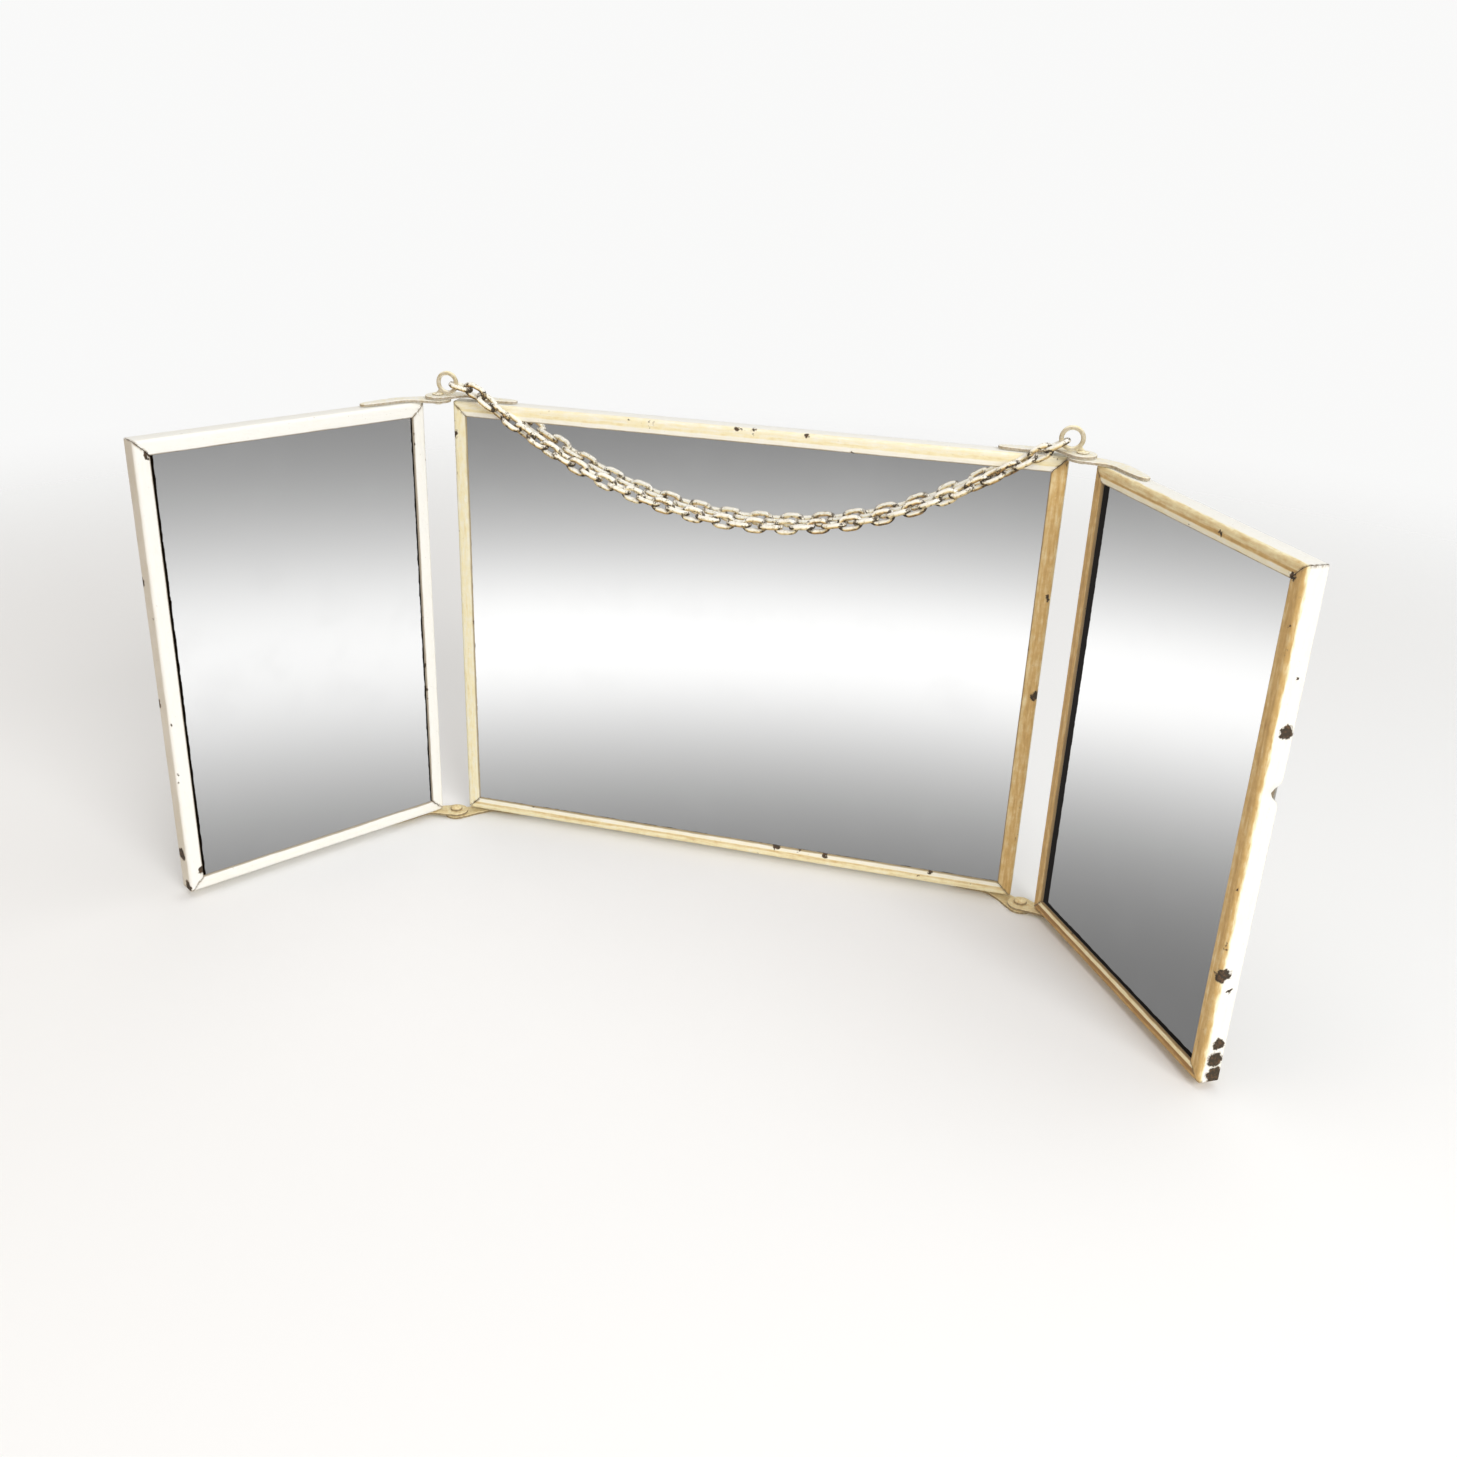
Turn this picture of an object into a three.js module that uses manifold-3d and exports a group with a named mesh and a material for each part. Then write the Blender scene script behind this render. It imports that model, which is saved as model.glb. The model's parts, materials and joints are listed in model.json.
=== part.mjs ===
// Folding triptych mirror: a wide centre mirror with a half-width wing hinged at each side, and a
// chain between the tops of the two hinges. Millimetres, +Z up, the mirrors face -Y.
// Each panel is a mitred frame of folded sheet channel round glass, backing card and a back plate.
import * as THREE from 'three';
import { mergeVertices } from 'three/addons/utils/BufferGeometryUtils.js';
import Module from 'manifold-3d';

const wasm = await Module();
wasm.setup();

// Panels
const panelHeight = 200;
const centreWidth = 265.6;
const wingMeetingGap = 3.6; // between the wings' free edges when both are shut over the centre
const wingWidth = (centreWidth - wingMeetingGap) / 2;
const wingRestAngle = THREE.MathUtils.degToRad(58); // each wing, forward from the centre's plane

// Frame channel
const sheet = 0.8;
const frontFlange = 6.3;
const backFlange = 5;
const hemWidth = 2.2; // the front flange's inner edge is folded back on itself
const hemThickness = 1.5;
const frontEdgeRadius = 1.6;
const backEdgeRadius = 1;
const mitreGap = 0.3;

// What the channel holds, from the front to the back
const glassThickness = 3;
const cardThickness = 2.5;
const backPlateThickness = 0.5;
const layerGap = 0.3;
const edgeClearance = 0.5; // between a pane's edge and the channel's side wall
const glassFront = hemThickness + layerGap;
const cardFront = glassFront + glassThickness + layerGap;
const backPlateFront = cardFront + cardThickness + layerGap;
const panelDepth = backPlateFront + backPlateThickness + layerGap + sheet;

// Hinges: two flat straps on one pin, at the top and the bottom of each side
const pivotSetOff = 5; // from each panel's edge, sideways
const pivotStandOff = 3.4; // in front of the front faces
const strapThickness = 1.3;
const strapGap = 0.3; // between two straps, and between a strap and a frame
const discRadius = 5.6;
const strapReach = 33.5; // from the pin to the strap's tip
const leafWidth = 6.2;
const leafDepth = 5.6; // from the front face to the leaf's middle line
const leafStart = 15; // from the pin to where the strap has its full width
const leafTipRadius = leafWidth * 0.3;
const leafTaper = 3; // the leaf starts to round off this far before its tip's arc
const discLeaveFront = THREE.MathUtils.degToRad(-28); // where the strap's edges leave its disc
const discLeaveBack = THREE.MathUtils.degToRad(96);
const neckReach = 5; // handles of the curves between the disc and the leaf
const neckDip = 0.4;
const frontFlare = { x: 2, y: 1.8 };
const backFlare = { x: 2.5, y: 1.6 };
const strapLift = strapThickness + strapGap; // the centre's straps pass outside the wings' straps
const liftedLength = 11; // from the pin to the bend
const bendLength = 7;
const pinRadius = 1.5;
const pinClearance = 0.3;
const headGap = 0.2;
const rivetHeadRadius = 2.9;
const rivetHeadHeight = 2;
const tailRadius = 2.4;
const tailHeight = 1.1;

// Facets
const sectionArcSteps = 5;
const strapCurveSteps = 10;
const domeRings = 5;
const turnedSteps = 20;
const wireSides = 12;
const eyeSteps = 32;
const linkSides = 10;
const linkSteps = 24;

// Eyes for the chain, on the two top pins
const eyeWire = 1.9;
const eyeRadius = 4.2; // to the middle of the wire
const eyeLean = 4.7; // the eye's middle stands this far inward of its pin
const eyeBaseGap = 0.35; // between the eye and the strap below it
const collarRadius = 2.6;
const collarHeight = 0.6;

// Chain
const linkWire = 2.2;
const linkWidth = 6.8;
const linkInnerLength = 6.9;
const chainGap = 0.3; // between the end links and the rest of the chain
const chainSides = 8;
const chainSteps = 44;
// Route of the chain from the middle of its first link to the middle of its last, in the plane
// of the pins: x, and z from the tops of the frames.
const chainRoute = [
  [-126.8, 7.4], [-120.2, 6.0], [-114, 1.6], [-106.4, -3.8], [-95, -10.7], [-83.1, -17.4],
  [-71, -23.4], [-58.6, -28.4], [-45.6, -32.6], [-32.3, -36], [-18.6, -38.4], [-5, -39.7],
  [8.6, -39.9], [22.2, -39.1], [35.8, -37.2], [49.3, -34.3], [62.2, -30.3], [74.6, -25.3],
  [86.7, -19.4], [98.5, -12.7], [109.8, -5.9], [121.3, 1.6], [127.6, 5.4],
];

const discReach = strapGap + strapLift + strapThickness; // from a frame to a disc's outer face
const frameBottom = discReach; // the bottom straps' discs stand on z = 0
const frameTop = frameBottom + panelHeight;
const pivotX = centreWidth / 2 + pivotSetOff;

function paint(color, roughness = 0.45, metalness = 0.1) {
  return new THREE.MeshStandardMaterial({ color, roughness, metalness });
}
const creamPaint = paint(0xf3e6bf);
const strapPaint = paint(0xf6ecd0);
const chainPaint = paint(0xefe2bd, 0.5, 0.2);
const silveredGlass = paint(0xd8dcde, 0.03, 1);
const greyCard = paint(0x8d7d66, 0.95, 0);
const tinPlate = paint(0xb9b2a0, 0.4, 0.8);

function piece(name, geometry, material) {
  const mesh = new THREE.Mesh(geometry, material);
  mesh.name = name;
  return mesh;
}

// manifold-3d only joins and cuts: three.js geometry in, three.js geometry out.
function solid(geometry) {
  const bare = new THREE.BufferGeometry();
  bare.setAttribute('position', geometry.getAttribute('position').clone());
  if (geometry.index) bare.setIndex(geometry.index.clone());
  const merged = mergeVertices(bare, 1e-4);
  const vertProperties = new Float32Array(merged.getAttribute('position').array);
  const triVerts = new Uint32Array(merged.index.array);
  return new wasm.Manifold(new wasm.Mesh({ numProp: 3, vertProperties, triVerts }));
}

function fromSolid(body) {
  const mesh = body.getMesh();
  const geometry = new THREE.BufferGeometry();
  geometry.setAttribute('position', new THREE.BufferAttribute(mesh.vertProperties, 3));
  geometry.setIndex(new THREE.BufferAttribute(mesh.triVerts, 1));
  const faceted = geometry.toNonIndexed();
  faceted.computeVertexNormals();
  return faceted;
}

function joined(geometries) {
  const solids = geometries.map(solid);
  return fromSolid(solids.slice(1).reduce((sum, next) => sum.add(next), solids[0]));
}

// A shape's outline as points, without the doubled points where its curves meet.
function outlinePoints(shape, divisions) {
  const points = shape.getPoints(divisions);
  return points.filter((point, i) => (
    point.distanceTo(points[(i + points.length - 1) % points.length]) > 1e-3
  ));
}

// The channel's section: x inward from the frame's outer side, y back from its front face.
function channelSection() {
  const half = hemThickness / 2;
  const section = new THREE.Shape();
  section.moveTo(backFlange, panelDepth);
  section.lineTo(backEdgeRadius, panelDepth);
  section.absarc(backEdgeRadius, panelDepth - backEdgeRadius, backEdgeRadius,
    Math.PI / 2, Math.PI, false);
  section.lineTo(0, frontEdgeRadius);
  section.absarc(frontEdgeRadius, frontEdgeRadius, frontEdgeRadius, Math.PI, Math.PI * 1.5, false);
  section.lineTo(frontFlange - half, 0);
  section.absarc(frontFlange - half, half, half, -Math.PI / 2, Math.PI / 2, false);
  section.lineTo(frontFlange - hemWidth, hemThickness);
  section.lineTo(frontFlange - hemWidth, sheet);
  section.lineTo(frontEdgeRadius, sheet);
  section.absarc(frontEdgeRadius, frontEdgeRadius, frontEdgeRadius - sheet,
    Math.PI * 1.5, Math.PI, true);
  section.lineTo(sheet, panelDepth - sheet);
  section.lineTo(backFlange, panelDepth - sheet);
  return new THREE.Shape(outlinePoints(section, sectionArcSteps));
}

// A rail along z, its outer side at x = -halfSpan, with its ends mitred at 45 degrees.
function railGeometry(length, halfSpan) {
  const geometry = new THREE.ExtrudeGeometry(channelSection(), {
    depth: 1, steps: 1, bevelEnabled: false,
  });
  const position = geometry.getAttribute('position');
  const endSetback = mitreGap / Math.SQRT2;
  for (let i = 0; i < position.count; i += 1) {
    const inward = position.getX(i);
    const reach = length / 2 - inward - endSetback;
    position.setZ(i, position.getZ(i) > 0.5 ? reach : -reach);
    position.setX(i, inward - halfSpan);
  }
  geometry.computeVertexNormals();
  return geometry;
}

function sheetPane(width, height, thickness, front) {
  const inset = 2 * (sheet + edgeClearance);
  const geometry = new THREE.BoxGeometry(width - inset, thickness, height - inset);
  geometry.translate(0, front + thickness / 2, 0);
  return geometry;
}

// One framed mirror, centred on x = 0 with its front face at y = 0 and its foot at frameBottom.
function panel(prefix, width, sideNames) {
  const group = new THREE.Group();
  const rails = [
    [sideNames.left, panelHeight, width, 0],
    ['top', width, panelHeight, Math.PI / 2],
    [sideNames.right, panelHeight, width, Math.PI],
    ['bottom', width, panelHeight, -Math.PI / 2],
  ];
  for (const [side, length, span, turn] of rails) {
    const geometry = railGeometry(length, span / 2);
    geometry.rotateY(turn);
    group.add(piece(`${prefix}_${side}_rail`, geometry, creamPaint));
  }
  const layers = [
    ['mirror_glass', glassThickness, glassFront, silveredGlass],
    ['backing_card', cardThickness, cardFront, greyCard],
    ['back_plate', backPlateThickness, backPlateFront, tinPlate],
  ];
  for (const [layer, thickness, front, material] of layers) {
    const pane = sheetPane(width, panelHeight, thickness, front);
    group.add(piece(`${prefix}_${layer}`, pane, material));
  }
  group.position.z = frameBottom + panelHeight / 2;
  return group;
}

// A hinge strap seen from above: a disc round the pin at the origin, a neck, and a leaf that lies
// along the frame. It runs towards +x for reachSign 1, and its leaf is behind the front face.
function strapOutline(reachSign) {
  const leafMiddle = pivotStandOff + leafDepth;
  const leafFrontEdge = leafMiddle - leafWidth / 2;
  const leafBackEdge = leafMiddle + leafWidth / 2;
  const tipX = strapReach - leafTipRadius;
  const frontStart = new THREE.Vector2(Math.cos(discLeaveFront), Math.sin(discLeaveFront));
  frontStart.multiplyScalar(discRadius);
  const outline = new THREE.Shape();
  outline.moveTo(frontStart.x, frontStart.y);
  outline.bezierCurveTo(
    discRadius + frontFlare.x, frontStart.y + frontFlare.y,
    leafStart - neckReach, leafFrontEdge - neckDip,
    leafStart, leafFrontEdge,
  );
  outline.quadraticCurveTo(
    tipX - leafTaper, leafFrontEdge,
    tipX, leafMiddle - leafTipRadius,
  );
  outline.absarc(tipX, leafMiddle, leafTipRadius, -Math.PI / 2, Math.PI / 2, false);
  outline.quadraticCurveTo(tipX - leafTaper, leafBackEdge, leafStart, leafBackEdge);
  outline.bezierCurveTo(
    leafStart - neckReach, leafBackEdge,
    backFlare.x, discRadius + backFlare.y,
    discRadius * Math.cos(discLeaveBack), discRadius * Math.sin(discLeaveBack),
  );
  outline.absarc(0, 0, discRadius, discLeaveBack, discLeaveFront + 2 * Math.PI, false);
  const points = outlinePoints(outline, strapCurveSteps);
  if (reachSign < 0) points.forEach((point) => point.setX(-point.x));
  const strap = new THREE.Shape(reachSign < 0 ? points.reverse() : points);
  const hole = new THREE.Path();
  hole.absarc(0, 0, pinRadius + pinClearance, 0, 2 * Math.PI, true);
  strap.holes.push(new THREE.Path(outlinePoints(hole, strapCurveSteps)));
  return strap;
}

function flatStrap(reachSign, bottom) {
  const geometry = new THREE.ExtrudeGeometry(strapOutline(reachSign), {
    depth: strapThickness, bevelEnabled: false,
  });
  geometry.translate(0, 0, bottom);
  return geometry;
}

// A strap bent clear of the wing's strap near the pin: its outline cut from a bent ribbon.
// liftSign 1 bends it up and -1 down, from a frame's end at z = frameEnd.
function bentStrap(reachSign, frameEnd, liftSign) {
  const height = strapLift + strapThickness;
  const seat = frameEnd + liftSign * strapGap;
  const blank = new THREE.ExtrudeGeometry(strapOutline(reachSign), {
    depth: 4 * height, bevelEnabled: false,
  });
  blank.translate(0, 0, seat - 2 * height);
  const line = [
    [-discRadius - 1, strapLift],
    [liftedLength, strapLift],
    [liftedLength + bendLength, 0],
    [strapReach + 1, 0],
  ];
  const side = [
    ...line,
    ...line.map(([along, lift]) => [along, lift + strapThickness]).reverse(),
  ];
  const ribbonShape = new THREE.Shape(
    side.map(([along, lift]) => new THREE.Vector2(reachSign * along, liftSign * lift)),
  );
  const ribbonWidth = 4 * (discRadius + leafWidth + leafDepth);
  const ribbon = new THREE.ExtrudeGeometry(ribbonShape, {
    depth: ribbonWidth, bevelEnabled: false,
  });
  ribbon.translate(0, 0, -ribbonWidth / 2);
  ribbon.rotateX(Math.PI / 2);
  ribbon.translate(0, 0, seat);
  return fromSolid(solid(blank).intersect(solid(ribbon)));
}

// A turned pin from its profile of radius and height, closed on the axis at both ends.
function turned(profile) {
  const points = profile.map(([radius, height]) => new THREE.Vector2(radius, height));
  const geometry = new THREE.LatheGeometry(points, turnedSteps);
  geometry.rotateX(Math.PI / 2);
  return geometry;
}

// A dome's profile from its rim to its tip.
function dome(radius, height, base, sign) {
  const rings = Array.from({ length: domeRings }, (unused, i) => {
    const angle = (i / domeRings) * (Math.PI / 2);
    return [radius * Math.cos(angle), base + sign * height * Math.sin(angle)];
  });
  return [...rings, [0, base + sign * height]];
}

// Bottom pin: a domed head above the wing's strap, its tail flush in the centre's strap.
function bottomRivet() {
  const tailEnd = headGap;
  const headBase = frameBottom - strapGap + headGap;
  return turned([
    [0, tailEnd],
    [pinRadius, tailEnd],
    [pinRadius, headBase],
    ...dome(rivetHeadRadius, rivetHeadHeight, headBase, 1),
  ]);
}

// Top pin: a peened tail below, and a wire eye that leans inward from its collar.
function eyeRivet(inwardSign) {
  const tailBase = frameTop + strapGap - headGap;
  const collarBase = frameTop + discReach + headGap;
  const collarTop = collarBase + collarHeight;
  const pin = turned([
    ...dome(tailRadius, tailHeight, tailBase, -1).reverse(),
    [pinRadius, tailBase],
    [pinRadius, collarBase],
    [collarRadius, collarBase],
    [collarRadius, collarTop],
    [0, collarTop],
  ]);
  const eyeCentre = eyeCentreOf(inwardSign);
  const eye = new THREE.TorusGeometry(eyeRadius, eyeWire / 2, wireSides, eyeSteps);
  eye.rotateX(Math.PI / 2);
  eye.translate(eyeCentre.x, 0, eyeCentre.z);
  const legFoot = new THREE.Vector3(0, 0, collarBase + collarHeight / 2);
  const legTop = legFoot.clone().sub(eyeCentre).setLength(eyeRadius).add(eyeCentre);
  return joined([pin, eye, rod(legFoot, legTop, eyeWire / 2)]);
}

// The middle of an eye, from its pin's axis.
function eyeCentreOf(inwardSign) {
  const height = frameTop + discReach + eyeBaseGap + eyeRadius + eyeWire / 2;
  return new THREE.Vector3(inwardSign * eyeLean, 0, height);
}

function rod(from, to, radius) {
  const along = to.clone().sub(from);
  const geometry = new THREE.CylinderGeometry(radius, radius, along.length(), wireSides);
  const turn = new THREE.Quaternion().setFromUnitVectors(
    new THREE.Vector3(0, 1, 0), along.clone().normalize(),
  );
  geometry.applyQuaternion(turn);
  const middle = from.clone().add(to).multiplyScalar(0.5);
  geometry.translate(middle.x, middle.y, middle.z);
  return geometry;
}

// An oval link, long along x and wide along y, about the origin.
function linkGeometry() {
  const bend = (linkWidth - linkWire) / 2;
  const straight = linkInnerLength + linkWire - 2 * bend;
  const halfStraight = straight / 2;
  const reach = linkInnerLength;
  const ends = [1, -1].map((sign) => {
    const ring = new THREE.TorusGeometry(bend, linkWire / 2, linkSides, linkSteps);
    ring.translate(sign * halfStraight, 0, 0);
    const keep = new THREE.BoxGeometry(reach, 2 * linkWidth, 2 * linkWidth);
    keep.translate(sign * (halfStraight + reach / 2), 0, 0);
    return solid(ring).intersect(solid(keep));
  });
  const overlap = 0.01;
  const sides = [1, -1].map((sign) => {
    const end = new THREE.Vector3(halfStraight + overlap, sign * bend, 0);
    const start = end.clone().setX(-end.x);
    return solid(rod(start, end, linkWire / 2));
  });
  return fromSolid([...ends, ...sides].reduce((sum, next) => sum.add(next)));
}

// The chain hangs in the plane of the pins. Its end links are pieces of their own, edge-on through
// the eyes, and the links between them are one tube of the chain's width.
function chain() {
  const group = new THREE.Group();
  const curve = new THREE.CatmullRomCurve3(
    chainRoute.map(([x, z]) => new THREE.Vector3(x, 0, frameTop + z)),
  );
  const endShare = (linkInnerLength / 2 + linkWire + chainGap) / curve.getLength();
  const start = curve.getPointAt(endShare);
  const middle = Array.from({ length: chainSteps - 1 }, (unused, i) => (
    curve.getPointAt(endShare + ((i + 1) / chainSteps) * (1 - 2 * endShare))
  ));
  const path = new THREE.CatmullRomCurve3([start, ...middle, curve.getPointAt(1 - endShare)]);
  const section = new THREE.Shape(Array.from({ length: chainSides }, (unused, i) => {
    const angle = ((i + 0.5) / chainSides) * 2 * Math.PI;
    return new THREE.Vector2(Math.cos(angle), Math.sin(angle)).multiplyScalar(linkWidth / 2);
  }));
  const tube = new THREE.ExtrudeGeometry(section, {
    steps: chainSteps, extrudePath: path, bevelEnabled: false,
  });
  group.add(piece('chain', tube, chainPaint));
  for (const [name, share] of [['chain_end_link_left', 0], ['chain_end_link_right', 1]]) {
    const link = piece(name, linkGeometry(), chainPaint);
    const tangent = curve.getTangentAt(share);
    link.position.copy(curve.getPointAt(share));
    link.rotation.y = -Math.atan2(tangent.z, tangent.x);
    group.add(link);
  }
  group.position.y = -pivotStandOff;
  return group;
}

function centreMirror() {
  const group = panel('centre', centreWidth, { left: 'left', right: 'right' });
  const whole = new THREE.Group();
  whole.add(group, chain());
  for (const [side, sign] of [['left', -1], ['right', 1]]) {
    const hinge = new THREE.Group();
    hinge.position.set(sign * pivotX, -pivotStandOff, 0);
    hinge.add(
      piece(`centre_top_${side}_strap`, bentStrap(-sign, frameTop, 1), strapPaint),
      piece(`centre_bottom_${side}_strap`, bentStrap(-sign, frameBottom, -1), strapPaint),
      piece(`${side}_eye_rivet`, eyeRivet(-sign), strapPaint),
      piece(`${side}_bottom_rivet`, bottomRivet(), strapPaint),
    );
    whole.add(hinge);
  }
  return whole;
}

function wing(side, sign) {
  const sideNames = sign > 0
    ? { left: 'hinge', right: 'outer' }
    : { left: 'outer', right: 'hinge' };
  const prefix = `${side}_wing`;
  const framed = panel(prefix, wingWidth, sideNames);
  framed.position.x = sign * (pivotSetOff + wingWidth / 2);
  framed.position.y = pivotStandOff;
  const whole = new THREE.Group();
  whole.add(
    framed,
    piece(`${prefix}_top_strap`, flatStrap(sign, frameTop + strapGap), strapPaint),
    piece(`${prefix}_bottom_strap`, flatStrap(sign, strapLift), strapPaint),
  );
  whole.position.set(sign * pivotX, -pivotStandOff, 0);
  whole.rotation.z = -sign * wingRestAngle;
  return whole;
}

const triptychMirror = new THREE.Group();
triptychMirror.add(centreMirror(), wing('left', -1), wing('right', 1));

// The origin is under the middle of the object's box, on the surface it stands on.
const box = new THREE.Box3().setFromObject(triptychMirror, true);
triptychMirror.position.y = -(box.min.y + box.max.y) / 2;

export default triptychMirror;
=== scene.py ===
import json
import math

import bmesh
import bpy
from mathutils import Matrix, Vector

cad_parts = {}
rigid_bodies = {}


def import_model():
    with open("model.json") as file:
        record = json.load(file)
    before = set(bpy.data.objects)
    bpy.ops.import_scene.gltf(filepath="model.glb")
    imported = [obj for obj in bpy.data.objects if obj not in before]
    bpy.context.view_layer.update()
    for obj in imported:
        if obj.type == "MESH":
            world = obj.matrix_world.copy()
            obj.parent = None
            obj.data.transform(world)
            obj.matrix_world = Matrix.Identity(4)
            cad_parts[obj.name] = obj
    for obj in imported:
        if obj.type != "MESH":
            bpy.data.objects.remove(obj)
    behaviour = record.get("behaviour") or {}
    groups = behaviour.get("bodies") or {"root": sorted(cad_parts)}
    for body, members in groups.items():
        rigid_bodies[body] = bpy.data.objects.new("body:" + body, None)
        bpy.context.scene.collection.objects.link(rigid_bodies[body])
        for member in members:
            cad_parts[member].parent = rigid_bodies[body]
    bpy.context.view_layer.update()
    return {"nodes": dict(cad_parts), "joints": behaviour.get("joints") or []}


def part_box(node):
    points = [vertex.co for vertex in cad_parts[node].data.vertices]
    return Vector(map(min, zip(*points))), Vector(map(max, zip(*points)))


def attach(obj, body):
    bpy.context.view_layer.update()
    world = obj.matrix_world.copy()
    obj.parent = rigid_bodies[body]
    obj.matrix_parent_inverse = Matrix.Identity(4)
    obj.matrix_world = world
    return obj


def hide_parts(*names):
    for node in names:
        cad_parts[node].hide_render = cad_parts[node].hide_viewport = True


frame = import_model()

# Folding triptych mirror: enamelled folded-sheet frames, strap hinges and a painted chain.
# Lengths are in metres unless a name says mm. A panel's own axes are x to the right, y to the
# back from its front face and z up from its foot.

mm = 0.001
upward = Vector((0, 0, 1))
panelNames = ("centre", "left_wing", "right_wing")
bodyOf = {"centre": "centre_panel", "left_wing": "left_wing", "right_wing": "right_wing"}
sideRails = {
    "centre": ("left", "right"),
    "left_wing": ("outer", "hinge"),
    "right_wing": ("hinge", "outer"),
}


class wire:
    # A node's output that takes Python's operators: each one adds its Math node to the tree.
    def __init__(self, tree, end=None):
        self.tree = tree
        self.end = end

    def node(self, kind, settings=None, values=None, output=0):
        made = self.tree.nodes.new(kind)
        for name, value in (settings or {}).items():
            if name == "stops":
                setStops(made.color_ramp, value)
            else:
                setattr(made, name, value)
        for place, value in (values or {}).items():
            self.feed(made.inputs[place], value)
        return wire(self.tree, made.outputs[output] if made.outputs else None)

    def feed(self, entry, value):
        if isinstance(value, wire):
            self.tree.links.new(value.end, entry)
        else:
            entry.default_value = value

    def twin(self, output):
        return wire(self.tree, self.end.node.outputs[output])

    def math(self, operation, *values):
        return self.node("ShaderNodeMath", {"operation": operation}, dict(enumerate(values)))

    def __add__(self, other):
        return self.math("ADD", self, other)

    def __radd__(self, other):
        return self.math("ADD", other, self)

    def __sub__(self, other):
        return self.math("SUBTRACT", self, other)

    def __rsub__(self, other):
        return self.math("SUBTRACT", other, self)

    def __mul__(self, other):
        return self.math("MULTIPLY", self, other)

    def __rmul__(self, other):
        return self.math("MULTIPLY", other, self)

    def __truediv__(self, other):
        return self.math("DIVIDE", self, other)

    def __abs__(self):
        return self.math("ABSOLUTE", self)

    def vector(self, operation, *values, output=0):
        settings = {"operation": operation}
        return self.node("ShaderNodeVectorMath", settings, dict(enumerate(values)), output)

    # 0 below low and 1 above high, with soft ends; low may be above high
    def step(self, low, high):
        values = {"Value": self, "From Min": low, "From Max": high}
        return self.node("ShaderNodeMapRange", {"interpolation_type": "SMOOTHSTEP"}, values)

    def most(self, other):
        return self.math("MAXIMUM", self, other)


def setStops(ramp, stops):
    for index, (place, colour) in enumerate(stops):
        spot = ramp.elements[index] if index < 2 else ramp.elements.new(place)
        spot.position = place
        spot.color = colour


def noise(where, scale, detail=3.0, roughness=0.55, output=0):
    values = {"Vector": where, "Scale": scale, "Detail": detail, "Roughness": roughness}
    return where.node("ShaderNodeTexNoise", {}, values, output)


def colourMix(share, first, second):
    values = {0: share, 6: first, 7: second}
    return share.node("ShaderNodeMix", {"data_type": "RGBA"}, values, 2)


def geometryTree(name, entries):
    tree = bpy.data.node_groups.new(name, "GeometryNodeTree")
    tree.interface.new_socket("Geometry", in_out="OUTPUT", socket_type="NodeSocketGeometry")
    for entry, kind in entries:
        tree.interface.new_socket(entry, in_out="INPUT", socket_type="NodeSocket" + kind)
    start = wire(tree).node("NodeGroupInput")
    inputs = {entry: start.twin(entry) for entry, kind in entries}
    return tree, inputs


def treeEnd(shape, material):
    loose = shape.node("GeometryNodeRealizeInstances", {}, {"Geometry": shape})
    ended = loose.node("GeometryNodeSetMaterial", {}, {"Geometry": loose, "Material": material})
    ended.node("NodeGroupOutput", {}, {"Geometry": ended})


# Runs a tree on an empty mesh and keeps the result as a plain mesh object.
def grow(name, tree, values):
    maker = bpy.data.objects.new(name + "Maker", bpy.data.meshes.new(name + "Maker"))
    bpy.context.scene.collection.objects.link(maker)
    modifier = maker.modifiers.new("grow", "NODES")
    modifier.node_group = tree
    for item in tree.interface.items_tree:
        if item.in_out == "INPUT" and item.name in values:
            modifier[item.identifier] = values[item.name]
    mesh = flatMesh(maker)
    bpy.data.objects.remove(maker)
    return addPiece(name, mesh)


def flatMesh(thing):
    graph = bpy.context.evaluated_depsgraph_get()
    return bpy.data.meshes.new_from_object(
        thing.evaluated_get(graph), preserve_all_data_layers=True, depsgraph=graph,
    )


def addPiece(name, mesh, material=None):
    mesh.name = name
    piece = bpy.data.objects.new(name, mesh)
    bpy.context.scene.collection.objects.link(piece)
    if material:
        mesh.materials.clear()
        mesh.materials.append(material)
    return piece


def smoothMesh(mesh, sharpAngle):
    mesh.shade_smooth()
    mesh.set_sharp_from_angle(angle=math.radians(sharpAngle))


def middle(name):
    low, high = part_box(name)
    return (low + high) / 2


# A panel's matrix, width, height and depth, from its glass, card and rails.
def measurePanel(panel):
    back = middle(panel + "_backing_card") - middle(panel + "_mirror_glass")
    back.z = 0
    back.normalize()
    right = back.cross(upward)
    rails = [f"{panel}_{side}_rail" for side in (*sideRails[panel], "top", "bottom")]
    corners = [v.co for rail in rails for v in frame["nodes"][rail].data.vertices]
    spans = []
    for axis in (right, back, upward):
        along = [axis.dot(corner) for corner in corners]
        spans.append((min(along), max(along)))
    (left, rightEnd), (front, rear), (foot, head) = spans
    origin = right * (left + rightEnd) / 2 + back * front + upward * foot
    turn = Matrix((right, back, upward)).transposed().to_4x4()
    return {
        "matrix": Matrix.Translation(origin) @ turn,
        "width": rightEnd - left,
        "depth": rear - front,
        "height": head - foot,
    }


panels = {panel: measurePanel(panel) for panel in panelNames}
pins = {joint["child"]: Vector(joint["pos_m"]) for joint in frame["joints"]}
centrePanel = panels["centre"]
frameFoot = centrePanel["matrix"].translation.z
frameHead = frameFoot + centrePanel["height"]
print("frame read: panels", {name: round(p["width"] / mm, 1) for name, p in panels.items()})

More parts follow.
